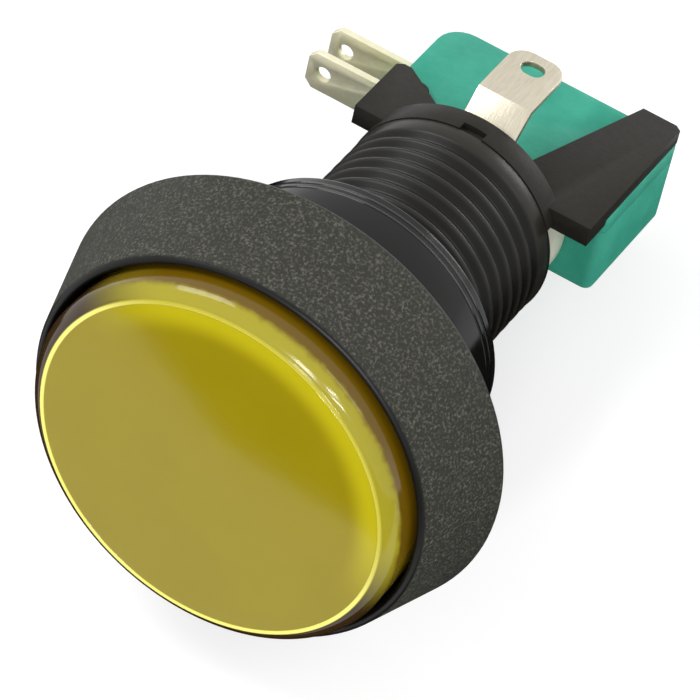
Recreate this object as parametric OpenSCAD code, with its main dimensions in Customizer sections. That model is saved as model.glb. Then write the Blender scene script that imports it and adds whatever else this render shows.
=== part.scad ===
// Illuminated push button with a screw-in barrel, a lamp and a snap-action switch.
// The axis is Z, the lens points up, and z = 0 is the face that seats on the panel.

/* [Lens] */
// Outer radius of the lens cap
lens_r = 20.8; // [17:0.1:28]
// Height of the lens face above the bezel rim
lens_proud = 3.4; // [3.1:0.1:6]
// Rounding between the face and the side of the lens
lens_round = 1.4; // [0.6:0.1:1.6]
// Thickness of the lens face
lens_top_t = 1.8; // [1.2:0.1:2.4]
// Thickness of the lens side wall
lens_wall = 1.5; // [1:0.1:2]
// Thickness of the diffuser disc under the face
diffuser_t = 1.2; // [0.6:0.1:2]

/* [Bezel] */
// Height of the bezel above the panel
bezel_h = 11; // [10:0.5:16]
// Width of the smooth front rim
rim_w = 1; // [0.8:0.1:3]
// How much wider the bezel is at the panel than at its front
bezel_flare = 2.9; // [0.5:0.1:6]
// Thickness of the bezel floor
floor_t = 2.2; // [1.6:0.1:2.6]
// Gap between the lens and the bezel
lens_gap = 0.4; // [0.3:0.05:1]

/* [Barrel] */
// Outer radius of the screw thread, and of the hole in the panel
barrel_r = 12; // [11.8:0.1:14]
// Length of the barrel behind the panel face
barrel_len = 33; // [31:0.1:40]
// Plain neck under the panel face
neck_len = 3; // [1:0.1:6]
// Plain end of the barrel behind the thread
plain_end = 1.8; // [0.5:0.1:3]
// Pitch of the thread
thread_pitch = 2; // [1.5:0.1:3]
// Depth of the thread
thread_depth = 0.7; // [0.4:0.05:0.8]
// Wall of the barrel from the bore to the crests of the thread
barrel_wall = 1.9; // [1.7:0.05:2]
// Depth of the two key slots in the bore
key_depth = 0.75; // [0.4:0.05:0.8]
// Width of the key slots
key_w = 3.4; // [2.4:0.1:5]

/* [Nut] */
// Outer radius of the nut
nut_r = 16.2; // [14.5:0.1:20]
// Height of the nut
nut_h = 9.5; // [5:0.1:12]
// Room for the panel between the bezel and the nut
panel_room = 4.85; // [1:0.05:8]
// Radial play between the nut and the thread
nut_play = 0.12; // [0.1:0.01:0.3]

/* [Carrier] */
// Travel of the lens when it is pressed
travel = 3; // [1.5:0.1:3]
// Height of the carrier plate
plate_t = 1.8; // [1.2:0.1:2.4]
// Radial play of the carrier tube in the bore
slide_gap = 0.3; // [0.2:0.05:0.4]
// Wall of the carrier tube
tube_wall = 1.2; // [0.8:0.1:1.6]
// Depth of the carrier tube below the panel face
tube_depth = 19; // [15:0.5:20]
// Thickness of the actuator leg
leg_t = 2.4; // [1.6:0.1:2.6]
// Width of the actuator leg
leg_w = 4.4; // [3:0.1:5]

/* [Spring] */
// Mean radius of the return spring
spring_r = 12.6; // [11.5:0.1:15]
// Thickness of the spring wire
spring_wire = 0.9; // [0.5:0.05:1.1]
// Number of turns of the spring
spring_turns = 3.5; // [2.5:0.5:3.5]

/* [Holder] */
// Height of the holder's ring behind the barrel
ring_t = 1.5; // [1:0.1:2]
// Wall of the collar over the lamp base
collar_wall = 1.05; // [0.9:0.05:1.6]
// Length of the collar behind the ring
collar_len = 1.35; // [1:0.05:3]
// Half the angle that each collar covers
collar_angle = 57; // [50:1:60]
// Thickness of the arms that carry the switch
arm_t = 1.7; // [1.4:0.1:2.6]
// How much thicker the arms are in front of the switch
arm_rib = 0.7; // [0.3:0.1:1]
// Half the distance between the outer edges of the arms
arm_reach = 14.1; // [13.9:0.1:14.6]
// Length of the arms in front of the holes of the switch, measured from the collar
arm_lead = 1.55; // [0.6:0.05:1.6]
// Margin of the arms behind the switch holes
peg_margin = 2.9; // [2.2:0.1:3.4]
// Sideways place of the arms and the lamp tabs from the axis
rear_shift = 0.8; // [0:0.1:1]
// Depth of the sleeve in the barrel
sleeve_len = 6.4; // [4:0.1:7]
// Wall of the sleeve
sleeve_wall = 0.9; // [0.7:0.05:1]

/* [Lamp] */
// Radius of the lamp glass
bulb_r = 5.05; // [3.5:0.05:5.2]
// Sideways place of the lamp from the axis
bulb_x = -2.8; // [-3:0.1:-2.6]
// Height of the glass above the socket
bulb_h = 16; // [12:0.5:17]
// Width of the wedge base of the lamp
wedge_w = 10; // [8:0.1:10.2]
// Thickness of the wedge base of the lamp
wedge_t = 4.6; // [3:0.1:4.8]
// Length of the wedge base of the lamp
wedge_len = 8.6; // [6:0.1:9]
// How much narrower the lamp base is than the barrel, in radius
base_step = 1; // [0.8:0.1:1.4]
// Length of the lamp base behind the barrel
base_len = 5.5; // [5:0.1:9]
// Length of the lamp base inside the sleeve
spigot_len = 7.4; // [5:0.1:7.8]

/* [Terminals] */
// Width of the lamp tabs
tab_w = 6.3; // [4.8:0.1:6.4]
// Thickness of all tabs
tab_t = 0.8; // [0.5:0.1:0.9]
// Distance of the lamp tabs from the axis
tab_y = 13; // [12.5:0.1:15]
// Length of the flat part of a lamp tab
tab_len = 7.8; // [6:0.1:9]
// Width of the switch tabs
blade_w = 4.8; // [3.2:0.1:5]
// Length of the two side tabs outside the case
blade_len = 10.6; // [6:0.1:12]
// Length of the common tab outside the case
com_len = 6; // [5:0.1:9]
// Radius of the hole in a switch tab
tab_hole_r = 0.9; // [0.6:0.1:1]
// Width of the hole in a lamp tab
eyelet_w = 2.6; // [1.8:0.1:3]
// Height of the hole in a lamp tab
eyelet_h = 2.1; // [1.6:0.1:2.4]
// Rounding of the lamp tab's end
tab_round = 2.1; // [1:0.1:2.4]

/* [Switch] */
// Length of the switch
switch_l = 27.8; // [27.8:0.1:30]
// Height of the switch along the button axis
switch_h = 15.9; // [15.9:0.1:18]
// Thickness of the switch
switch_t = 10.3; // [9.5:0.1:11]
// Sideways place of the switch from the axis
switch_x = 1.1; // [0.6:0.1:1.2]
// Distance of the two holes from the edges of the switch
hole_edge = 2.8; // [2.7:0.1:3]
// Radius of the switch holes
hole_r = 1.55; // [1.4:0.05:1.6]
// Wall of the switch case
case_wall = 1.4; // [1:0.1:1.5]
// Thickness of the switch cover
cover_t = 2.2; // [1.4:0.1:2.4]
// Sideways place of the switch pin
pin_x = 4.5; // [4.4:0.1:4.7]
// Radius of the switch pin
pin_r = 1.2; // [0.9:0.05:1.3]
// Height of the pin above the case at rest
pin_proud = 1.4; // [1.3:0.1:1.6]
// Travel of the pin when the lens is pressed
pin_travel = 1.2; // [0.6:0.1:1.2]
// Gap between the moving contact and the far contact
contact_gap = 0.8; // [0.4:0.1:1]
// Radius of the contact rivets
contact_r = 1.3; // [1:0.05:1.4]
// Height of a contact rivet's head
rivet_t = 0.6; // [0.4:0.05:0.7]
// Width of the snap blade and of the tabs inside the case
strip_w = 3.8; // [3:0.1:4]
// Thickness of the snap blade
blade_t = 0.3; // [0.2:0.05:0.4]
// Distance of the contacts from the end of the switch
contact_inset = 4.5; // [4.2:0.1:5]
// Distance of the common terminal from its end of the switch
anchor_inset = 6.2; // [5.8:0.1:6.4]

/* [Hidden] */
$fn = 96;
eps = 0.01;
fit = 0.05;
seat = 0.1;

// Bezel and lens
cup_r = lens_r + lens_gap;
bezel_front_r = cup_r + rim_w;
bezel_rear_r = bezel_front_r + bezel_flare;
edge_round = 0.5;
lens_z = bezel_h + lens_proud;
lens_in_r = lens_r - lens_wall;
skirt_z = floor_t + travel + 0.2;
diffuser_z = lens_z - lens_top_t - diffuser_t;
plate_z = diffuser_z - plate_t;
snap_w = 4;
snap_h = 1.4;
snap_count = 4;

// Barrel and nut
root_r = barrel_r - thread_depth;
bore_r = barrel_r - barrel_wall;
thread_len = barrel_len - neck_len - plain_end;
thread_turns = floor(thread_len / thread_pitch);
key_r = bore_r + key_depth;
nut_front_z = -panel_room;
nut_rear_z = nut_front_z - nut_h;

// Carrier
tube_r = bore_r - slide_gap;
tube_in_r = tube_r - tube_wall;
barb_len = 5;
barb_r = key_r - 0.25;
rim_wall = 1;

// Holder and lamp base
barrel_end = -barrel_len;
ring_end = barrel_end - ring_t;
collar_end = ring_end - collar_len;
base_r = barrel_r - base_step;
collar_in_r = base_r + fit;
collar_r = collar_in_r + collar_wall;
sleeve_r = bore_r - seat;
sleeve_in_r = sleeve_r - sleeve_wall;
base_end = barrel_end - base_len;
spigot_z = barrel_end + spigot_len;
socket_gap = 0.3;
socket_floor = spigot_z - wedge_len - 0.4;

// Switch
switch_front = base_end - seat;
switch_rear = switch_front - switch_h;
half_t = switch_t / 2;
left_end = switch_x - switch_l / 2;
right_end = switch_x + switch_l / 2;
left_hole_x = left_end + hole_edge;
right_hole_x = right_end - hole_edge;
front_hole_z = switch_front - hole_edge;
rear_hole_z = switch_rear + hole_edge;
cover_y = half_t - cover_t;
arm_y = half_t + fit;
peg_r = hole_r - fit;
boss_r = hole_r + 1;
pin_tip = switch_front + pin_proud;
leg_tip = pin_tip + travel - pin_travel + fit;
leg_gap = 0.4;

// Contacts: the moving one lies on the front contact and crosses to the rear one
contact_x = left_end + contact_inset;
anchor_x = right_end - anchor_inset;
hook_r = 0.35;
hook_x = anchor_x - tab_t / 2 - fit - hook_r;
stem_r = contact_r * 0.54;
moving_t = blade_t + 2.5 * rivet_t;
nc_z = switch_front - 5.4;
moving_top = nc_z - tab_t / 2 - rivet_t - fit;
moving_z = moving_top - moving_t / 2;
no_z = moving_top - moving_t - contact_gap - 2 * fit - rivet_t - tab_t / 2;
blade_swing = contact_gap * (hook_x - pin_x) / (hook_x - contact_x);
pin_foot = moving_z + blade_t / 2 + pin_travel - blade_swing * 0.4 + fit;
com_end = switch_rear - com_len;
hole_inset = 2;

// Points of an arc round a centre, from one angle to another
function arc(cx, cy, r, a0, a1, n = 6) =
    [for (i = [0:n]) let (a = a0 + (a1 - a0) * i / n) [cx + r * cos(a), cy + r * sin(a)]];

// Outline of a rectangle in x and z, with its own radius at each corner
function soft_box(x0, x1, z0, z1, r) = concat(
    arc(x1 - r[0], z1 - r[0], r[0], 0, 90),
    arc(x0 + r[1], z1 - r[1], r[1], 90, 180),
    arc(x0 + r[2], z0 + r[2], r[2], 180, 270),
    arc(x1 - r[3], z0 + r[3], r[3], 270, 360)
);

// A flat slab with its outline in x and z, from y0 to y1
module slab(outline, y0, y1) {
    translate([0, y1, 0]) rotate([90, 0, 0]) linear_extrude(y1 - y0) polygon(outline);
}

// A box between two corners
module span(a, b) {
    translate(a) cube(b - a);
}

// A round bar along y, from y0 to y1
module bar_y(x, z, r, y0, y1) {
    translate([x, y1, z]) rotate([90, 0, 0]) cylinder(r = r, h = y1 - y0, $fn = 48);
}

// The same shape above and below the switch
module both_sides() {
    children();
    mirror([0, 1, 0]) children();
}

// Bezel and barrel, moulded in one piece
module housing() {
    thread_top = -neck_len;
    thread_end = thread_top - thread_turns * thread_pitch;
    bezel = concat(
        [[bore_r, 0], [bezel_rear_r - edge_round, 0]],
        arc(bezel_rear_r - edge_round, edge_round, edge_round, -90, 0, 3),
        arc(bezel_front_r - edge_round, bezel_h - edge_round, edge_round, 15, 90, 3),
        [[cup_r + 0.3, bezel_h], [cup_r, bezel_h - 0.6], [cup_r, floor_t], [bore_r, floor_t]]
    );
    ridges = [for (i = [0:thread_turns - 1]) let (z = thread_top - i * thread_pitch)
        each [[barrel_r, z], [barrel_r, z - thread_pitch * 0.15], [root_r, z - thread_pitch * 0.45],
              [root_r, z - thread_pitch * 0.65], [barrel_r, z - thread_pitch * 0.95]]];
    barrel = concat(
        [[bore_r, floor_t / 2], [barrel_r, floor_t / 2]],
        ridges,
        [[barrel_r, thread_end], [barrel_r, barrel_end], [bore_r, barrel_end]]
    );
    color([0.09, 0.09, 0.09]) difference() {
        union() {
            rotate_extrude() polygon(bezel);
            rotate_extrude() polygon(barrel);
        }
        both_sides() intersection() {
            translate([0, 0, barrel_end - 1])
                cylinder(r = key_r, h = tube_depth_top() - barrel_end + 1);
            span([-key_w / 2, 0, barrel_end - 1], [key_w / 2, key_r + 1, 0]);
        }
    }
}

// Height of the upper end of the key slots
function tube_depth_top() = -tube_depth + barb_len + seat;

// Lens cap, a shallow cup with windows for the carrier's snap lugs
module lens_cap() {
    outline = concat(
        [[0, lens_z]],
        arc(lens_r - lens_round, lens_z - lens_round, lens_round, 90, 0, 6),
        [[lens_r, skirt_z], [lens_in_r, skirt_z], [lens_in_r, lens_z - lens_top_t], [0, lens_z - lens_top_t]]
    );
    color([0.86, 0.76, 0.05, 0.85]) difference() {
        rotate_extrude() polygon(outline);
        snap_places() span([lens_in_r - 1, -snap_w / 2, plate_z - snap_h - seat],
                           [lens_r + 1, snap_w / 2, plate_z + seat]);
    }
}

// The places of the snap lugs round the skirt
module snap_places() {
    for (i = [0:snap_count - 1]) rotate(45 + i * 360 / snap_count) children();
}

// Translucent disc that spreads the light
module diffuser() {
    color([0.96, 0.95, 0.88]) translate([0, 0, diffuser_z])
        cylinder(r = lens_in_r - seat, h = diffuser_t);
}

// Moving carrier: plate, rim, tube, keys and the leg that works the switch
module carrier() {
    plate_r = lens_in_r - seat;
    shell = [
        [tube_in_r, plate_z + plate_t], [plate_r, plate_z + plate_t], [plate_r, skirt_z + 0.6],
        [plate_r - rim_wall, skirt_z + 0.6], [plate_r - rim_wall, plate_z], [tube_r, plate_z],
        [tube_r, -tube_depth], [tube_in_r, -tube_depth]
    ];
    color([0.93, 0.93, 0.9]) union() {
        rotate_extrude() polygon(shell);
        snap_places() span([plate_r - rim_wall / 2, -snap_w / 2 + seat, plate_z - snap_h],
                           [lens_r - 0.5, snap_w / 2 - seat, plate_z]);
        both_sides() intersection() {
            translate([0, 0, -tube_depth]) cylinder(r = barb_r, h = barb_len);
            span([-key_w / 2 + 0.3, tube_in_r + 0.2, -tube_depth - 1], [key_w / 2 - 0.3, key_r, 0]);
        }
        span([pin_x - leg_t / 2, -leg_w / 2, leg_tip], [pin_x + leg_t / 2, leg_w / 2, -tube_depth + 5]);
        intersection() {
            translate([0, 0, -tube_depth]) cylinder(r = tube_r - 0.2, h = 5);
            span([pin_x - leg_t / 2, -leg_w / 2, -tube_depth], [tube_r, leg_w / 2, -tube_depth + 5]);
        }
    }
}

// Points of one ring of the spring wire, at a share of the coil's length
function coil_ring(share, sides) =
    let (z0 = floor_t + spring_wire / 2, z1 = plate_z - spring_wire / 2,
         a = share * spring_turns * 360, z = z0 + (z1 - z0) * share)
    [for (k = [0:sides - 1]) let (b = k * 360 / sides, r = spring_r + spring_wire / 2 * cos(b))
        [r * cos(a), r * sin(a), z + spring_wire / 2 * sin(b)]];

// Coil spring between the bezel floor and the carrier plate
module return_spring() {
    sides = 8;
    rings = round(spring_turns * 20);
    points = [for (i = [0:rings]) each coil_ring(i / rings, sides)];
    walls = [for (i = [0:rings - 1], k = [0:sides - 1]) let (n = (k + 1) % sides)
        each [[i * sides + k, i * sides + n, (i + 1) * sides + n],
              [i * sides + k, (i + 1) * sides + n, (i + 1) * sides + k]]];
    ends = [[for (k = [0:sides - 1]) sides - 1 - k], [for (k = [0:sides - 1]) rings * sides + k]];
    color([0.75, 0.76, 0.78]) polyhedron(points, concat(walls, ends));
}

// Round ring nut
module panel_nut() {
    in_r = barrel_r + nut_play;
    outline = concat(
        [[in_r, nut_front_z - 0.5], [in_r + 0.5, nut_front_z], [nut_r - 0.3, nut_front_z],
         [nut_r, nut_front_z - 0.3]],
        arc(nut_r - 0.45, nut_rear_z + 0.45, 0.45, 0, -90, 4),
        [[in_r + 0.5, nut_rear_z], [in_r, nut_rear_z + 0.5]]
    );
    color([0.06, 0.06, 0.06]) rotate_extrude() polygon(outline);
}

// Outline of one arm, from the collar to its tip behind a hole of the switch
function arm_outline(side, root, tip, lean) =
    let (x0 = rear_shift + side * (tab_w / 2 + 0.3), x1 = rear_shift + side * arm_reach, z0 = ring_end + 0.2)
    [[x0, z0], [x0, root], [x1 - side * lean, tip], [x1 - side * 0.7, tip], [x1, tip + 0.5], [x1, z0]];

// One arm: a flat plate over the switch with a peg, and a rib in front of the switch
module arm(side, root, tip, lean, peg_x, peg_z) {
    outline = arm_outline(side, root, tip, lean);
    slab(outline, arm_y, arm_y + arm_t);
    intersection() {
        slab(outline, arm_y - arm_rib, arm_y + arm_t);
        span([-arm_reach * 2, 0, switch_front + seat], [arm_reach * 2, collar_r, 0]);
    }
    bar_y(peg_x, peg_z, peg_r, half_t - switch_t * 0.7, arm_y + 1);
}

// Black holder: ring, sleeve, two collars, and two arms with pegs for the switch
module holder() {
    short_tip = front_hole_z - peg_margin * 0.7;
    long_tip = rear_hole_z - peg_margin;
    color([0.1, 0.1, 0.1]) difference() {
        union() {
            difference() {
                translate([0, 0, ring_end]) cylinder(r = collar_r, h = ring_t);
                span([-collar_r - 1, -half_t, ring_end - 1], [collar_r + 1, half_t, barrel_end - fit]);
            }
            translate([0, 0, ring_end]) cylinder(r = sleeve_r, h = ring_t + sleeve_len);
            both_sides() {
                intersection() {
                    translate([0, 0, barrel_end + 1.4]) cylinder(r = barb_r, h = 2);
                    span([-key_w / 2 + 0.3, 0, barrel_end], [key_w / 2 - 0.3, key_r, 0]);
                }
                collar();
            }
            arm(-1, collar_end - arm_lead, short_tip, 1.6, left_hole_x, front_hole_z);
            arm(1, collar_end - arm_lead + 0.5, long_tip, 4.7, right_hole_x, rear_hole_z);
        }
        translate([0, 0, ring_end - 1]) cylinder(r = sleeve_in_r, h = barrel_len);
        translate([0, 0, collar_end - fit]) cylinder(r = collar_in_r, h = collar_len + fit);
        intersection() {
            translate([0, 0, base_end - 1]) cylinder(r = collar_in_r, h = base_len + 1 - fit);
            span([-collar_r, -half_t, base_end - 1], [collar_r, half_t, barrel_end]);
        }
        both_sides() span([-1.1, collar_r - 0.75, ring_end + 0.4], [1.6, collar_r + 1, barrel_end + 1]);
    }
}

// One collar, an arc of tube over the lamp base
module collar() {
    reach = collar_r * 2;
    intersection() {
        translate([0, 0, collar_end]) cylinder(r = collar_r, h = collar_len + ring_t / 2);
        translate([0, 0, collar_end]) linear_extrude(collar_len + ring_t)
            polygon([[0, 0], [reach * sin(collar_angle), reach * cos(collar_angle)],
                     [0, reach * 2], [-reach * sin(collar_angle), reach * cos(collar_angle)]]);
    }
}

// White lamp base with the wedge socket, the slot for the leg and the terminal slots
module lamp_base() {
    slot_y = wedge_w / 2 + socket_gap;
    flange_y = half_t - seat;
    color([0.92, 0.91, 0.85]) difference() {
        union() {
            translate([0, 0, collar_end]) cylinder(r = base_r, h = collar_len - fit);
            translate([0, 0, ring_end - 1]) cylinder(r = sleeve_in_r - fit, h = spigot_z - ring_end + 1);
            intersection() {
                translate([0, 0, base_end]) cylinder(r = base_r, h = base_len - seat);
                span([-barrel_r, -flange_y, base_end], [barrel_r, flange_y, barrel_end]);
            }
        }
        span([bulb_x - wedge_t / 2 - socket_gap, -slot_y, socket_floor],
             [bulb_x + wedge_t / 2 + socket_gap, slot_y, spigot_z + 1]);
        span([pin_x - leg_t / 2 - leg_gap, -leg_w / 2 - leg_gap, base_end - 1],
             [pin_x + leg_t / 2 + leg_gap, leg_w / 2 + leg_gap, spigot_z + 1]);
        both_sides() translate([rear_shift, 0, 0])
            span([-tab_w / 2 - seat, slot_y - 0.01, collar_end - tab_t - seat],
                 [tab_w / 2 + seat, slot_y + tab_t + seat, spigot_z + 1]);
    }
}

// Wedge-base lamp, a sealed glass bulb
module lamp_bulb() {
    top = spigot_z + 0.4 + bulb_h;
    glass = concat(
        [[0, spigot_z + 0.4], [wedge_t / 2, spigot_z + 0.4]],
        arc(bulb_r - 1.5, spigot_z + 2.6, 1.5, -60, 0, 3),
        arc(0, top - bulb_r, bulb_r, 0, 90, 8)
    );
    color([0.95, 0.95, 0.92, 0.6]) translate([bulb_x, 0, 0]) union() {
        rotate_extrude() polygon(glass);
        span([-wedge_t / 2, -wedge_w / 2, spigot_z - wedge_len], [wedge_t / 2, wedge_w / 2, spigot_z + 1]);
    }
}

// Lamp terminal: contact blade in the socket, then out, up and back to a flat tab
module lamp_terminal() {
    y0 = wedge_w / 2 + socket_gap;
    z0 = collar_end - fit;
    bend_y = base_r - 0.5;
    bend_z = z0 - tab_t - (tab_y - bend_y);
    end_z = bend_z - tab_len;
    lift = tab_t * 0.42;
    path = [
        [y0, spigot_z - 1], [y0 + tab_t, spigot_z - 1], [y0 + tab_t, z0], [bend_y + lift, z0],
        [tab_y + tab_t / 2, bend_z + tab_t - lift], [tab_y + tab_t / 2, end_z],
        [tab_y - tab_t / 2, end_z], [tab_y - tab_t / 2, bend_z], [bend_y, z0 - tab_t],
        [y0, z0 - tab_t]
    ];
    translate([rear_shift, 0, 0]) difference() {
        translate([-tab_w / 2, 0, 0]) rotate([90, 0, 90]) linear_extrude(tab_w) polygon(path);
        slab(soft_box(-eyelet_w / 2, eyelet_w / 2, end_z + 1.3, end_z + 1.3 + eyelet_h,
            [for (i = [0:3]) min(eyelet_w, eyelet_h) / 2 - 0.05]), tab_y - 1, tab_y + 1);
        for (s = [-1, 1]) slab(concat(
            arc(s * (tab_w / 2 - tab_round), end_z + tab_round, tab_round, 270, 270 + s * 90),
            [[s * (tab_w / 2 + 1), end_z + tab_round], [s * (tab_w / 2 + 1), end_z - 1],
             [s * (tab_w / 2 - tab_round), end_z - 1]]), tab_y - 1, tab_y + 1);
    }
}

module lamp_terminal_top() {
    color([0.78, 0.75, 0.68]) lamp_terminal();
}

module lamp_terminal_bottom() {
    color([0.78, 0.75, 0.68]) mirror([0, 1, 0]) lamp_terminal();
}

// Outline of the switch body, with the large round at its rear corner
function switch_outline() =
    soft_box(left_end, right_end, switch_rear, switch_front, [1, 1, 3, 1]);

// Outline of the hollow in the switch case
function cavity_outline() =
    soft_box(left_end + case_wall, right_end - case_wall, switch_rear + case_wall,
             switch_front - case_wall, [0.6, 0.6, 2, 0.6]);

// The two mounting holes, along y
module switch_holes(r, y0, y1) {
    bar_y(left_hole_x, front_hole_z, r, y0, y1);
    bar_y(right_hole_x, rear_hole_z, r, y0, y1);
}

// Deep half of the switch: walls, hole bosses, pin guide and slots for the terminals
module switch_case() {
    color([0.13, 0.55, 0.42]) difference() {
        slab(switch_outline(), -half_t, cover_y);
        difference() {
            slab(cavity_outline(), -half_t + case_wall, cover_y + 1);
            switch_holes(boss_r, -half_t, cover_y + 2);
        }
        switch_holes(hole_r, -half_t - 1, cover_y + 1);
        translate([pin_x, 0, switch_front - case_wall - 1])
            cylinder(r = pin_r + fit, h = case_wall + 2, $fn = 48);
        for (z = [nc_z, no_z])
            span([left_end - 1, -blade_w / 2, z - tab_t / 2],
                 [left_hole_x + boss_r + seat, blade_w / 2, z + tab_t / 2]);
        span([anchor_x - tab_t / 2, -blade_w / 2, switch_rear - 1],
             [anchor_x + tab_t / 2, blade_w / 2, moving_z + 2]);
    }
}

// Lid of the switch
module switch_cover() {
    color([0.25, 0.68, 0.54]) difference() {
        slab(switch_outline(), cover_y, half_t);
        switch_holes(hole_r, cover_y - 1, half_t + 1);
    }
}

// Pin that the carrier's leg pushes
module switch_pin() {
    color([0.93, 0.9, 0.82]) union() {
        translate([pin_x, 0, pin_foot]) cylinder(r = pin_r, h = pin_tip - pin_foot - 0.3, $fn = 48);
        translate([pin_x, 0, pin_tip - 0.3 - eps])
            cylinder(r1 = pin_r, r2 = pin_r - 0.3, h = 0.3 + eps, $fn = 48);
        translate([pin_x, 0, pin_foot])
            cylinder(r = pin_r + 0.4, h = switch_front - case_wall - pin_foot - seat, $fn = 48);
    }
}

// Snap blade, hooked on the common terminal
module switch_blade() {
    color([0.8, 0.6, 0.3]) difference() {
        union() {
            span([contact_x - contact_r - 0.5, -strip_w / 2, moving_z - blade_t / 2],
                 [hook_x, strip_w / 2, moving_z + blade_t / 2]);
            bar_y(hook_x, moving_z, hook_r, -strip_w / 2, strip_w / 2);
        }
        translate([contact_x, 0, moving_z - 1]) cylinder(r = stem_r, h = 2, $fn = 32);
        span([contact_x / 2, -strip_w / 6, moving_z - 1], [pin_x / 2, strip_w / 6, moving_z + 1]);
    }
}

// Double-headed contact rivet of the blade
module blade_contact() {
    head = (moving_t - blade_t) / 2;
    color([0.85, 0.85, 0.86]) translate([contact_x, 0, 0]) union() {
        translate([0, 0, moving_top - head]) cylinder(r = contact_r, h = head, $fn = 32);
        translate([0, 0, moving_top - moving_t]) cylinder(r = contact_r, h = head, $fn = 32);
        translate([0, 0, moving_top - moving_t + eps]) cylinder(r = stem_r, h = moving_t - 2 * eps, $fn = 32);
    }
}

// A switch tab along -x, with its inner end under the contact
module side_tab(z) {
    x0 = left_end - blade_len;
    color([0.85, 0.82, 0.62]) difference() {
        span([x0, -blade_w / 2, z - tab_t / 2], [contact_x + 2, blade_w / 2, z + tab_t / 2]);
        translate([x0 + hole_inset, 0, z - 1]) cylinder(r = tab_hole_r, h = 2, $fn = 32);
        for (s = [-1, 1]) translate([0, 0, z - 1]) linear_extrude(2)
            polygon([[x0 - 1, s * (blade_w / 2 - 0.9)], [x0, s * (blade_w / 2 - 0.9)],
                     [x0 + 0.9, s * blade_w / 2], [x0 + 0.9, s * (blade_w / 2 + 1)],
                     [x0 - 1, s * (blade_w / 2 + 1)]]);
        both_sides() span([left_end + case_wall, strip_w / 2, z - 1], [contact_x + 3, blade_w, z + 1]);
    }
}

module nc_terminal() {
    side_tab(nc_z);
}

module no_terminal() {
    side_tab(no_z);
}

// Contact rivet under the front terminal
module nc_contact() {
    color([0.85, 0.85, 0.86]) translate([contact_x, 0, nc_z - tab_t / 2 - rivet_t])
        cylinder(r = contact_r, h = rivet_t, $fn = 32);
}

// Contact rivet on the rear terminal
module no_contact() {
    color([0.85, 0.85, 0.86]) translate([contact_x, 0, no_z + tab_t / 2])
        cylinder(r = contact_r, h = rivet_t, $fn = 32);
}

// Common terminal, through the rear wall of the case
module com_terminal() {
    color([0.85, 0.82, 0.62]) difference() {
        span([anchor_x - tab_t / 2, -blade_w / 2, com_end],
             [anchor_x + tab_t / 2, blade_w / 2, moving_z + 1.6]);
        translate([anchor_x - 1, 0, com_end + hole_inset]) rotate([0, 90, 0])
            cylinder(r = tab_hole_r, h = 2, $fn = 32);
        both_sides() span([anchor_x - 1, strip_w / 2, switch_rear + case_wall],
                          [anchor_x + 1, blade_w, moving_z + 2]);
        for (s = [-1, 1]) translate([anchor_x - 1, 0, 0]) rotate([90, 0, 90]) linear_extrude(2)
            polygon([[s * (blade_w / 2 - 0.9), com_end - 1], [s * (blade_w / 2 - 0.9), com_end],
                     [s * blade_w / 2, com_end + 0.9], [s * (blade_w / 2 + 1), com_end + 0.9],
                     [s * (blade_w / 2 + 1), com_end - 1]]);
    }
}

housing();
lens_cap();
diffuser();
carrier();
return_spring();
panel_nut();
holder();
lamp_base();
lamp_bulb();
lamp_terminal_top();
lamp_terminal_bottom();
switch_case();
switch_cover();
switch_pin();
switch_blade();
blade_contact();
com_terminal();
nc_terminal();
nc_contact();
no_terminal();
no_contact();
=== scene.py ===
import math

import bmesh
import bpy
from mathutils import Matrix, Vector


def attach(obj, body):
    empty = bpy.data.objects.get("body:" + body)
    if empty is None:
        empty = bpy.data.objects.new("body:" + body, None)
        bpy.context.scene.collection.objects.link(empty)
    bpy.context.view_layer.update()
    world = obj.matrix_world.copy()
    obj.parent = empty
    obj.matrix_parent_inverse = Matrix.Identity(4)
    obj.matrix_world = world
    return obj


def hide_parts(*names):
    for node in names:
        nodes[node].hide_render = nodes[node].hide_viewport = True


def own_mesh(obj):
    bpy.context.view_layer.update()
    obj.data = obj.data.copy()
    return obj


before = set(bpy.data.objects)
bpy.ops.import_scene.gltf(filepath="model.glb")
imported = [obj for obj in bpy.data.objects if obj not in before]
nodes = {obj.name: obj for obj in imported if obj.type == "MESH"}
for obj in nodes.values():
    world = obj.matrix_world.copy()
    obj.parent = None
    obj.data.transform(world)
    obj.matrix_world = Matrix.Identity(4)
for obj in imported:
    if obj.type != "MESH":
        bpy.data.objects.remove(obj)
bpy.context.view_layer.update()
metre = 1000  # millimetres; the pieces are given in millimetres, and camera, floor, cards and lamps in metres
bpy.ops.object.select_all(action="DESELECT")
print("frame loaded with", len(nodes), "nodes")


# A socket in a material, so that masks and heights read as sums
class Value:
    def __init__(self, maker, socket):
        self.maker, self.socket = maker, socket

    def math(self, operation, first, second):
        return self.maker.node("ShaderNodeMath", {"operation": operation}, {0: first, 1: second})

    def __add__(self, other):
        return self.math("ADD", self, other)

    def __radd__(self, other):
        return self.math("ADD", other, self)

    def __sub__(self, other):
        return self.math("SUBTRACT", self, other)

    def __rsub__(self, other):
        return self.math("SUBTRACT", other, self)

    def __mul__(self, other):
        return self.math("MULTIPLY", self, other)

    def __rmul__(self, other):
        return self.math("MULTIPLY", other, self)

    def __pow__(self, other):
        return self.math("POWER", self, other)

    def larger(self, other):
        return self.math("MAXIMUM", self, other)

    def above(self, low, high):  # 0 under low, 1 over high, smooth between
        settings = {"interpolation_type": "SMOOTHSTEP"}
        return self.maker.node("ShaderNodeMapRange", settings, {0: self, 1: low, 2: high})


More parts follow.
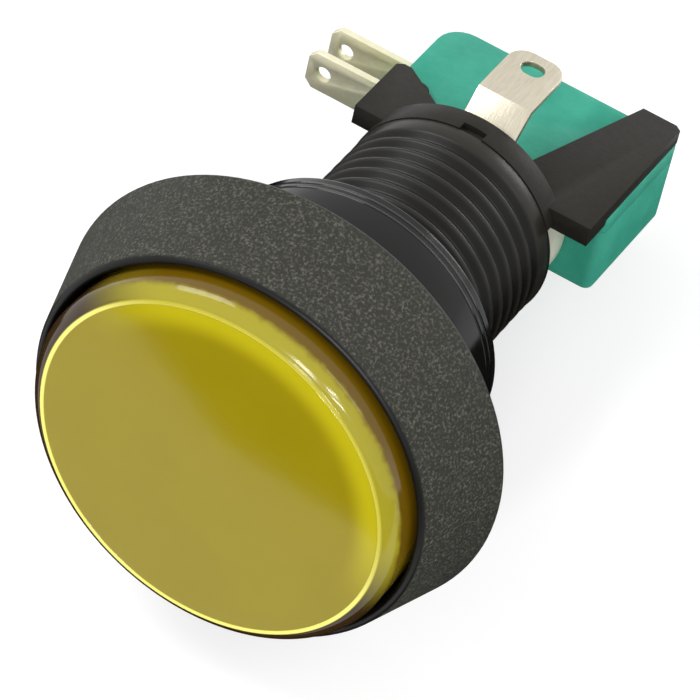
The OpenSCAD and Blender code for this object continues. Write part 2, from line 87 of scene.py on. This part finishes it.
# The nodes of one material, or of the world
class NodeSheet:
    def __init__(self, owner):
        owner.use_nodes = True
        self.tree = owner.node_tree

    def node(self, kind, settings=None, inputs=None, output=0):  # kind may also name a node already there
        made = self.tree.nodes.get(kind) or self.tree.nodes.new(kind)
        for key, value in (settings or {}).items():
            setattr(made, key, value)
        for key, value in (inputs or {}).items():
            if isinstance(value, Value):
                self.tree.links.new(value.socket, made.inputs[key])
            else:
                made.inputs[key].default_value = value
        return Value(self, made.outputs[output])

    def mixShader(self, factor, first, second):
        return self.node("ShaderNodeMixShader", None, {0: factor, 1: first, 2: second})

    # 1 for the rays that show the background: those of the camera, of reflections and of clear pieces
    def shownRays(self):
        seen = self.node("ShaderNodeLightPath", output="Is Camera Ray")
        for kind in ("Is Glossy Ray", "Is Transmission Ray"):
            seen = seen.larger(self.node("ShaderNodeLightPath", output=kind))
        return seen

    def close(self, outputName, shader):
        self.tree.links.new(shader.socket, self.tree.nodes[outputName].inputs["Surface"])


# A material of the object, with one Principled shader; plain numbers go straight onto its sockets
class Finish(NodeSheet):
    def __init__(self, name, sockets):
        self.material = bpy.data.materials.new(name)
        super().__init__(self.material)
        self.shader = self.tree.nodes["Principled BSDF"]
        for socketName, value in sockets.items():
            self.shader.inputs[socketName].default_value = value
        inputs = {0: self.node("ShaderNodeTexCoord", output="Object"), "Scale": metre}
        self.place = self.node("ShaderNodeVectorMath", {"operation": "SCALE"}, inputs)

    def noise(self, scale, detail=3.0, roughness=0.5, at=None):  # scale in patches a millimetre
        inputs = {"Vector": at or self.place, "Scale": scale, "Detail": detail, "Roughness": roughness}
        return self.node("ShaderNodeTexNoise", None, inputs)

    def axis(self, name):
        return self.node("ShaderNodeSeparateXYZ", None, {0: self.place}, name)

    def radius(self):
        return (self.axis("X") ** 2 + self.axis("Y") ** 2) ** 0.5

    def blend(self, factor, first, second):
        settings = {"data_type": "RGBA"}
        return self.node("ShaderNodeMix", settings, {0: factor, 6: first, 7: second}, 2)

    def feed(self, socketName, value):
        self.tree.links.new(value.socket, self.shader.inputs[socketName])

    def gloss(self, least, spread, scale):  # roughness from least to least + spread, in soft patches
        self.feed("Roughness", least + self.noise(scale) * spread)

    def bump(self, height, depth):  # depth in millimetres
        inputs = {"Height": height, "Distance": depth / metre}
        self.feed("Normal", self.node("ShaderNodeBump", None, inputs))


# Two colours in soft clouds, an uneven gloss and a fine grain; noises go by scale, detail and roughness
def cloudedFinish(name, look):
    finish = Finish(name, look["sockets"])
    finish.feed("Base Color", finish.blend(finish.noise(*look["cloud"]), *look["colours"]))
    finish.gloss(*look["gloss"])
    finish.bump(finish.noise(*look["grain"]), look["depth"])
    return finish


def grey(level):
    return (level, level, level, 1)


# Black plastic of the housing: coarse on the bezel's flank, smooth on its rim, satin on the barrel
housingLook = {
    "flank": (0.027, 0.027, 0.021, 1), "fleck": (0.125, 0.125, 0.100, 1), "rim": (0.004, 0.004, 0.0035, 1),
    "barrel": (0.006, 0.0055, 0.0045, 1), "crest": (0.020, 0.019, 0.015, 1),
    "grain": (2.4, 4, 0.62), "flecks": (3.4, 3, 0.6), "fleckRise": (0.46, 0.74),
    "roughness": 0.32, "flankRoughness": 0.24, "uneven": 0.06, "unevenScale": 0.5,
    "ripple": 0.04, "rippleNoise": (1.0, 2), "depth": 0.26, "sockets": {"Specular IOR Level": 0.22},
}
housingZones = {  # each starts at its first number and is full at its second
    "flankFoot": (0.2, 0.6), "flankTop": (10.4, 10.8), "flankRadius": (21.9, 22.1),
    "crestRadius": (11.72, 11.96), "crestTop": (-3.2, -2.8), "rimFoot": (-0.5, 0.5),
}
housingFinish = Finish("blackHousing", housingLook["sockets"])
housingHeight, housingRadius = housingFinish.axis("Z"), housingFinish.radius()
onFlank = housingHeight.above(*housingZones["flankFoot"]) * housingRadius.above(*housingZones["flankRadius"])
onFlank = onFlank * (1 - housingHeight.above(*housingZones["flankTop"]))
# Painted light: the thread crests are painted paler than the barrel, so the grooves between them read as
# shaded
crests = housingRadius.above(*housingZones["crestRadius"])
crests = crests * (1 - housingHeight.above(*housingZones["crestTop"]))
flecks = housingFinish.noise(*housingLook["flecks"]).above(*housingLook["fleckRise"])
flankColour = housingFinish.blend(flecks, housingLook["flank"], housingLook["fleck"])
onRim = housingHeight.above(*housingZones["rimFoot"])
smoothColour = housingFinish.blend(onRim, housingLook["barrel"], housingLook["rim"])
smoothColour = housingFinish.blend(crests, smoothColour, housingLook["crest"])
housingFinish.feed("Base Color", housingFinish.blend(onFlank, smoothColour, flankColour))
uneven = housingFinish.noise(housingLook["unevenScale"]) * housingLook["uneven"]
housingFinish.feed("Roughness", housingLook["roughness"] + onFlank * housingLook["flankRoughness"] + uneven)
ripple = housingFinish.noise(*housingLook["rippleNoise"]) * housingLook["ripple"]
housingFinish.bump(housingFinish.noise(*housingLook["grain"]) * onFlank + ripple, housingLook["depth"])

# Yellow acrylic of the lens, with painted light: paler on the side that the light comes from, painted shade
# on the other
lensLook = {
    "face": (0.280, 0.222, 0.003, 1), "deep": (0.245, 0.190, 0.002, 1), "glow": (0.44, 0.375, 0.006, 1),
    "bead": (0.85, 0.80, 0.17, 1), "shade": (0.035, 0.018, 0.005, 1), "paintedCornerSheen": (0.33, 0.285, 0.018, 1),
    "side": (0.15, 0.085, 0.002, 1), "cloud": (0.12, 2, 0.5), "light": (0.463, 0.886), "beadFade": 0.8,
    "sideRagged": 0.8, "raggedNoise": (0.9, 2), "gloss": (0.09, 0.05, 0.6), "ripple": (0.35, 2),
    "depth": 0.008, "sockets": {"Specular IOR Level": 0.34},
}
lensZones = {  # each starts at its first number and is full at its second
    "lit": (1.0, 12.0), "glow": (15.6, 18.4), "corner": (19.25, 19.5),
    "beadInside": (18.9, 19.05), "beadOutside": (19.3, 19.5), "sideTop": (13.0, 13.9),
}
lensFinish = Finish("yellowLens", lensLook["sockets"])
lensRadius = lensFinish.radius()
lightX, lightY = lensLook["light"]
towardsLight = (lensFinish.axis("X") * lightX + lensFinish.axis("Y") * lightY).above(*lensZones["lit"])
lensTone = lensFinish.blend(lensFinish.noise(*lensLook["cloud"]), lensLook["face"], lensLook["deep"])
# Painted light: a paler band at the face's border on the side the light comes from
lensTone = lensFinish.blend(lensRadius.above(*lensZones["glow"]) * towardsLight, lensTone, lensLook["glow"])
# Painted light and shade on the rounded corner: a pale painted sheen on the side the light comes from,
# painted shade on the other
paintedCornerShading = lensFinish.blend(towardsLight, lensLook["shade"], lensLook["paintedCornerSheen"])
lensTone = lensFinish.blend(lensRadius.above(*lensZones["corner"]), lensTone, paintedCornerShading)
# Painted highlight: a bright line round the bead, faded on the side the light comes from
beadHighlightBand = lensRadius.above(*lensZones["beadInside"]) * (1 - lensRadius.above(*lensZones["beadOutside"]))
lensTone = lensFinish.blend(beadHighlightBand * (1 - towardsLight * lensLook["beadFade"]), lensTone, lensLook["bead"])
# Painted shade: the lower side wall, on the side the light comes from, is painted brown, with a ragged top
# edge
ragged = lensFinish.noise(*lensLook["raggedNoise"]) * lensLook["sideRagged"]
onSide = 1 - (lensFinish.axis("Z") + ragged).above(*lensZones["sideTop"])
lensFinish.feed("Base Color", lensFinish.blend(onSide * towardsLight, lensTone, lensLook["side"]))
lensFinish.gloss(*lensLook["gloss"])
lensFinish.bump(lensFinish.noise(*lensLook["ripple"]), lensLook["depth"])

# Glossy black of the nut, with two fine turned lines near its rear edge
nutLook = {
    "lines": (-13.1, -12.3), "lineHalf": 0.22, "ripple": 0.2, "rippleNoise": (0.4, 2), "depth": 0.12,
    "gloss": (0.10, 0.08, 0.7),
    "sockets": {"Base Color": (0.005, 0.005, 0.0045, 1), "Specular IOR Level": 0.28},
}
nutFinish = Finish("glossBlack", nutLook["sockets"])
nutFinish.gloss(*nutLook["gloss"])
nutHeight = nutFinish.axis("Z")
nutRelief = nutFinish.noise(*nutLook["rippleNoise"]) * nutLook["ripple"]
for line in nutLook["lines"]:
    rising = nutHeight.above(line - nutLook["lineHalf"], line)
    nutRelief = nutRelief + rising * (1 - nutHeight.above(line, line + nutLook["lineHalf"]))
nutFinish.bump(nutRelief, nutLook["depth"])

# Satin black of the holder
holderLook = {
    "colours": ((0.012, 0.0105, 0.008, 1), (0.021, 0.0185, 0.0145, 1)), "cloud": (1.4, 3),
    "gloss": (0.42, 0.14, 0.9), "grain": (2.6, 3), "depth": 0.02, "sockets": {"Specular IOR Level": 0.2},
}
holderFinish = cloudedFinish("satinBlack", holderLook)

# Green moulding of the switch
switchLook = {
    "colours": ((0.014, 0.26, 0.175, 1), (0.060, 0.44, 0.315, 1)), "cloud": (0.28, 4, 0.6),
    "gloss": (0.38, 0.15, 1.1), "grain": (1.6, 4), "depth": 0.04, "sockets": {"Specular IOR Level": 0.3},
}
switchFinish = cloudedFinish("greenMoulding", switchLook)

# Cream plastic of the lamp base, the carrier and the pin
creamLook = {
    "colours": ((0.74, 0.71, 0.56, 1), (0.84, 0.82, 0.70, 1)), "cloud": (0.5, 3),
    "gloss": (0.35, 0.15, 1.2), "grain": (1.5, 3), "depth": 0.02, "sockets": {"Specular IOR Level": 0.45},
}
creamFinish = cloudedFinish("creamPlastic", creamLook)

# Pale brass of the switch's tabs and blade
brassLook = {
    "colours": ((0.80, 0.74, 0.46, 1), (0.97, 0.94, 0.74, 1)), "cloud": (1.2, 4, 0.6),
    "gloss": (0.24, 0.2, 0.8), "grain": (1.2, 4, 0.6), "depth": 0.03, "sockets": {"Metallic": 0.45},
}
brassFinish = cloudedFinish("platedBrass", brassLook)

# Bright metal of the contacts and the spring wire
silverLook = {
    "colours": ((0.60, 0.60, 0.59, 1), (0.72, 0.72, 0.72, 1)), "cloud": (2.0, 3),
    "gloss": (0.22, 0.15, 1.5), "grain": (4.0, 2), "depth": 0.01, "sockets": {"Metallic": 1.0},
}
silverFinish = cloudedFinish("brightSteel", silverLook)

# Tinned strip of the lamp terminals, drawn along their length
tinLook = {
    "colours": ((0.50, 0.45, 0.34, 1), (0.76, 0.71, 0.58, 1)),
    "stretch": (3.0, 0.3, 0.3), "streaks": (1.6, 4, 0.6), "dents": 0.5, "dentScale": 0.5,
    "gloss": (0.26, 0.2, 0.8), "depth": 0.03, "sockets": {"Metallic": 1.0},
}
tinFinish = Finish("tinnedStrip", tinLook["sockets"])
drawn = tinFinish.node("ShaderNodeMapping", None, {"Vector": tinFinish.place, "Scale": tinLook["stretch"]})
streaks = tinFinish.noise(*tinLook["streaks"], drawn)
tinFinish.feed("Base Color", tinFinish.blend(streaks, *tinLook["colours"]))
tinFinish.gloss(*tinLook["gloss"])
tinFinish.bump(streaks + tinFinish.noise(tinLook["dentScale"]) * tinLook["dents"], tinLook["depth"])

# Frosted diffuser
frostLook = {
    "colours": ((0.76, 0.74, 0.66, 1), (0.84, 0.82, 0.75, 1)), "cloudScale": 0.8,
    "grain": (3.0, 2), "depth": 0.03, "sockets": {"Roughness": 0.6},
}
frostFinish = Finish("frostedDisc", frostLook["sockets"])
frostCloud = frostFinish.noise(frostLook["cloudScale"])
frostFinish.feed("Base Color", frostFinish.blend(frostCloud, *frostLook["colours"]))
frostFinish.bump(frostFinish.noise(*frostLook["grain"]), frostLook["depth"])

# Clear glass of the lamp
glassLook = {
    "ripple": (0.3, 1), "depth": 0.02, "sockets": {
        "Base Color": (0.95, 0.97, 0.97, 1), "Roughness": 0.03, "Transmission Weight": 0.9, "IOR": 1.5,
    },
}
glassFinish = Finish("clearGlass", glassLook["sockets"])
glassFinish.bump(glassFinish.noise(*glassLook["ripple"]), glassLook["depth"])

finishes = {
    "housing": housingFinish, "lens_cap": lensFinish, "diffuser": frostFinish, "carrier": creamFinish,
    "return_spring": silverFinish, "panel_nut": nutFinish, "holder": holderFinish, "lamp_base": creamFinish,
    "lamp_bulb": glassFinish, "lamp_terminal_top": tinFinish, "lamp_terminal_bottom": tinFinish,
    "switch_case": switchFinish, "switch_cover": switchFinish, "switch_pin": creamFinish,
    "switch_blade": brassFinish, "blade_contact": silverFinish, "com_terminal": brassFinish,
    "nc_terminal": brassFinish, "nc_contact": silverFinish,
    "no_terminal": brassFinish, "no_contact": silverFinish,
}
for name, finish in finishes.items():
    nodes[name].data.materials.clear()
    nodes[name].data.materials.append(finish.material)
print("finishes given to nodes:", len(finishes))


def selectOnly(piece):
    bpy.ops.object.select_all(action="DESELECT")
    piece.select_set(True)
    bpy.context.view_layer.objects.active = piece


# How the shown copies are eased: points nearer than merge become one, and angles are in degrees
easing = {"merge": 0.004, "flat": 0.6, "corner": 35, "smooth": 40, "segments": 2}
switchForm = {  # the case's lower face and the places of its mounting holes
    "foot": -5.1, "holes": ((-10.0, -41.4), (12.2, -51.7)), "holeClear": 2,
    "footRound": 1.3, "footSegments": 5, "footAngle": 57,
}


# Rounds the switch case's lower edges, but not those of its mounting holes
def roundSwitchFoot(piece):
    bpy.ops.mesh.select_all(action="DESELECT")
    shape = bmesh.from_edit_mesh(piece.data)
    sharp = math.radians(switchForm["footAngle"])
    for edge in shape.edges:
        middle = (edge.verts[0].co + edge.verts[1].co) / 2 * metre
        fromHoles = min(math.dist((middle.x, middle.z), hole) for hole in switchForm["holes"])
        atFoot = max(vertex.co.y for vertex in edge.verts) * metre < switchForm["foot"]
        isSharp = len(edge.link_faces) == 2 and edge.calc_face_angle() > sharp
        edge.select = atFoot and isSharp and fromHoles > switchForm["holeClear"]
    bmesh.update_edit_mesh(piece.data)
    offset = switchForm["footRound"] / metre
    bpy.ops.mesh.bevel(offset=offset, segments=switchForm["footSegments"], clamp_overlap=True)


# A CAD node's shape with its corners eased: doubles merged, flats dissolved, edges bevelled
def easedCopy(name, pieceName, ease, shaping=None):
    piece = nodes[name].copy()
    piece.data = nodes[name].data.copy()
    piece.name = pieceName
    bpy.context.collection.objects.link(piece)
    piece.parent = None
    piece.matrix_world = Matrix.Identity(4)
    selectOnly(piece)
    bpy.ops.mesh.customdata_custom_splitnormals_clear()
    bpy.ops.object.mode_set(mode="EDIT")
    bpy.ops.mesh.select_all(action="SELECT")
    bpy.ops.mesh.remove_doubles(threshold=easing["merge"] / metre)
    bpy.ops.mesh.dissolve_limited(angle_limit=math.radians(easing["flat"]))
    if shaping:
        shaping(piece)
    bpy.ops.object.mode_set(mode="OBJECT")
    if ease:
        bevel = piece.modifiers.new("ease", "BEVEL")
        bevel.width, bevel.segments = ease / metre, easing["segments"]
        bevel.limit_method, bevel.angle_limit = "ANGLE", math.radians(easing["corner"])
        bpy.ops.object.modifier_apply(modifier=bevel.name)
    bpy.ops.object.shade_smooth_by_angle(angle=math.radians(easing["smooth"]))
    return piece


# An open outline of (radius, height), spun round the Z axis
def spunPiece(pieceName, outline, steps, smooth):
    bpy.ops.mesh.primitive_plane_add(location=(0, 0, 0))
    piece = bpy.context.object
    piece.name = pieceName
    shape = bmesh.new()
    points = [shape.verts.new((radius / metre, 0, height / metre)) for radius, height in outline]
    for first, second in zip(points, points[1:] + points[:1]):
        shape.edges.new((first, second))
    shape.to_mesh(piece.data)
    shape.free()
    selectOnly(piece)
    bpy.ops.object.mode_set(mode="EDIT")
    bpy.ops.mesh.select_all(action="SELECT")
    bpy.ops.mesh.spin(steps=steps, angle=math.tau, center=(0, 0, 0), axis=(0, 0, 1))
    bpy.ops.mesh.select_all(action="SELECT")
    bpy.ops.mesh.remove_doubles(threshold=easing["merge"] / metre)
    bpy.ops.mesh.normals_make_consistent(inside=False)
    bpy.ops.object.mode_set(mode="OBJECT")
    bpy.ops.object.shade_smooth_by_angle(angle=math.radians(smooth))
    return piece


# The piece moves with a body and stands for a CAD node
def standFor(piece, body, name):
    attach(piece, body)
    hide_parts(name)


# CAD nodes shown again with their corners eased
easedPieces = {
    "housing": ("bezelAndBarrel", "body", 0.14), "panel_nut": ("ringNut", "nut", 0.16),
    "holder": ("switchHolder", "body", 0.22), "lamp_base": ("lampBase", "body", 0.2),
    "lamp_terminal_top": ("upperLampTab", "body", 0.14),
    "lamp_terminal_bottom": ("lowerLampTab", "body", 0.14),
    "switch_case": ("switchCase", "body", 0.3), "switch_cover": ("switchCover", "body", 0.3),
    "com_terminal": ("commonTab", "body", 0.09), "nc_terminal": ("closedTab", "body", 0.09),
    "no_terminal": ("openTab", "body", 0.09),
}
shapings = {"switch_case": roundSwitchFoot}
for name, (pieceName, body, ease) in easedPieces.items():
    standFor(easedCopy(name, pieceName, ease, shapings.get(name)), body, name)
print("eased pieces made:", len(easedPieces))

# Return spring, which shortens between the bezel's floor and the carrier as the button goes in; here it is a
# copy with its own mesh that rides on the body
spring = easedCopy("return_spring", "returnSpring", 0)
standFor(spring, "body", "return_spring")
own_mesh(spring)

# Lens: flat face, fine bead, shallow sloped border, rounded corner, side wall and hollow underneath
lensForm = {
    "side": 20.8, "inner": 19.2, "foot": 5.4, "top": 14.4, "roof": 12.6, "face": 17.2,
    "slope": 0.14, "slopeEnd": 18.9, "beadRadius": 19.2, "beadHalf": 0.26, "beadRise": 0.07, "beadSink": 0.03,
    "cornerRound": 1.3, "cornerDrop": 0.08, "cornerStart": 88, "flatten": 1.35,
    "beadSteps": 6, "cornerSteps": 12, "steps": 192, "smooth": 32,
}
border = lensForm["top"] - lensForm["slope"]
lensOutline = [(0, lensForm["top"]), (lensForm["face"], lensForm["top"]), (lensForm["slopeEnd"], border)]
for index in range(lensForm["beadSteps"] + 1):
    angle = math.radians(180 - 180 * index / lensForm["beadSteps"])
    radius = lensForm["beadRadius"] + lensForm["beadHalf"] * math.cos(angle)
    lensOutline.append((radius, border - lensForm["beadSink"] + lensForm["beadRise"] * math.sin(angle)))
cornerRound = lensForm["cornerRound"]
cornerX, cornerZ = lensForm["side"] - cornerRound, border - lensForm["cornerDrop"] - cornerRound
for index in range(lensForm["cornerSteps"] + 1):
    angle = math.radians(lensForm["cornerStart"] * (1 - index / lensForm["cornerSteps"]))
    across, rise = math.cos(angle) ** lensForm["flatten"], math.sin(angle) ** lensForm["flatten"]
    lensOutline.append((cornerX + cornerRound * across, cornerZ + cornerRound * rise))
lensOutline += [(lensForm["side"], lensForm["foot"]), (lensForm["inner"], lensForm["foot"])]
lensOutline += [(lensForm["inner"], lensForm["roof"]), (0, lensForm["roof"])]
lens = spunPiece("lensShell", lensOutline, lensForm["steps"], lensForm["smooth"])
lens.data.materials.append(lensFinish.material)
standFor(lens, "button", "lens_cap")
print("spring and lens made")

# Camera at the photograph's place
cameraForm = {
    "place": (0.1494, 0.3789, 0.3694), "up": (-0.460, 0.711, -0.532), "back": (0.265, 0.682, 0.682),
    "lens": 285.8, "sensor": 36, "clipStart": 0.01, "clipEnd": 10,
}
cameraData = bpy.data.cameras.new("camera")
cameraData.lens, cameraData.sensor_width = cameraForm["lens"], cameraForm["sensor"]
cameraData.clip_start, cameraData.clip_end = cameraForm["clipStart"], cameraForm["clipEnd"]
camera = bpy.data.objects.new("camera", cameraData)
bpy.context.collection.objects.link(camera)
back = Vector(cameraForm["back"]).normalized()
right = Vector(cameraForm["up"]).cross(back).normalized()
turn = Matrix((right, back.cross(right), back)).transposed()
camera.matrix_world = Matrix.Translation(cameraForm["place"]) @ turn.to_4x4()
bpy.context.scene.camera = camera


# The turn that points the Z axis along a direction
def facing(direction):
    return direction.to_track_quat("Z", "Y").to_matrix().to_4x4()


# Pale floor under the lying button, which rests on the bezel's rear edge and the lower lamp tab
floorForm = {
    "bezelFoot": (0, -0.0251, 0), "tabFoot": (0, -0.0134, -0.0470), "size": 1.6,
    "plain": 0.80, "shown": 0.46, "glow": 0.64, "roughness": 0.8, "specular": 0.1,
}
bezelFoot, tabFoot = Vector(floorForm["bezelFoot"]), Vector(floorForm["tabFoot"])
floorNormal = Vector((1, 0, 0)).cross(tabFoot - bezelFoot).normalized()
bpy.ops.mesh.primitive_plane_add(size=floorForm["size"], location=(0, 0, 0))
floor = bpy.context.object
floor.name = "floor"
floor.matrix_world = Matrix.Translation(bezelFoot) @ facing(floorNormal)
floorMaterial = bpy.data.materials.new("paleFloor")
floorSheet = NodeSheet(floorMaterial)
floorGloss = {"Roughness": floorForm["roughness"], "Specular IOR Level": floorForm["specular"]}
plainFloor = {"Base Color": grey(floorForm["plain"]), **floorGloss}
floorGlow = {"Emission Color": grey(1.0), "Emission Strength": floorForm["glow"]}
shownFloor = {"Base Color": grey(floorForm["shown"]), **floorGloss, **floorGlow}
paleShader = floorSheet.mixShader(
    floorSheet.shownRays(),
    floorSheet.node("Principled BSDF", None, plainFloor),
    floorSheet.node("ShaderNodeBsdfPrincipled", None, shownFloor),
)
fromBelow = floorSheet.node("ShaderNodeNewGeometry", output="Backfacing")
clear = floorSheet.node("ShaderNodeBsdfTransparent")
floorSheet.close("Material Output", floorSheet.mixShader(fromBelow, paleShader, clear))
floor.data.materials.append(floorMaterial)

# Dark cards on the floor, outside the picture and seen only in reflections, by their corners' X and Z
cardForm = {
    "leftCard": ((-0.2168, 0.1967), (-0.0158, 0.0567), (-0.2168, 0.40), (-0.0158, 0.40)),
    "rightCard": ((-0.0158, 0.0567), (0.30, 0.0396), (-0.0158, 0.40), (0.30, 0.40)),
    # The under card darkens reflections of the floor under the button: painted shade
    "underCard": ((-0.09, -0.07), (0.09, -0.07), (-0.09, 0.018), (0.09, 0.018)),
}
cardLook = {"lift": 0.001, "sockets": {"Base Color": grey(0.01), "Specular IOR Level": 0.0}}
cardMaterial = bpy.data.materials.new("darkCard")
NodeSheet(cardMaterial).node("Principled BSDF", None, cardLook["sockets"])
for name, corners in cardForm.items():
    bpy.ops.mesh.primitive_plane_add(size=1, location=(0, 0, 0))
    card = bpy.context.object
    card.name = name
    for vertex, (x, z) in zip(card.data.vertices, corners):
        y = (floorNormal.dot(bezelFoot) - floorNormal.z * z) / floorNormal.y
        vertex.co = Vector((x, y, z)) + floorNormal * cardLook["lift"]
    card.visible_camera = card.visible_diffuse = card.visible_shadow = False
    card.data.materials.append(cardMaterial)

# Soft studio light
worldLevels = {"plain": 0.55, "shown": 1.0}
world = bpy.data.worlds.new("studio")
bpy.context.scene.world = world
worldSheet = NodeSheet(world)
plain = {"Color": grey(1.0), "Strength": worldLevels["plain"]}
shown = {"Color": grey(1.0), "Strength": worldLevels["shown"]}
whiteWorld = worldSheet.mixShader(
    worldSheet.shownRays(),
    worldSheet.node("Background", None, plain),
    worldSheet.node("ShaderNodeBackground", None, shown),
)
worldSheet.close("World Output", whiteWorld)

# Soft lamps: direction from the button in the camera's right, up and back, distance, size and power
lamps = {
    "keyLamp": ((-0.55, 0.85, 0.55), 0.7, (0.35, 0.35), 2.6),
    "fillLamp": ((0.9, 0.35, 0.6), 0.8, (0.4, 0.4), 1.0),
    "windowLamp": ((-0.38, -0.40, 0.83), 0.8, (0.10, 0.30), 2.0),
    "upperPane": ((-0.02, -0.35, 0.93), 0.8, (0.035, 0.20), 0.75),
    "lowerPane": ((-0.12, -0.50, 0.86), 0.8, (0.035, 0.20), 0.75),
    "rimLamp": ((0.77, 0.56, -0.30), 0.7, (0.30, 0.10), 0.9),
}
for name, (direction, distance, (width, length), power) in lamps.items():
    data = bpy.data.lights.new(name, "AREA")
    data.shape, data.size, data.size_y, data.energy = "RECTANGLE", width, length, power
    lamp = bpy.data.objects.new(name, data)
    bpy.context.collection.objects.link(lamp)
    away = (turn @ Vector(direction)).normalized()
    lamp.matrix_world = Matrix.Translation(away * distance) @ facing(away)

bpy.context.scene.view_settings.view_transform = "Standard"
print("camera, floor and lamps set")
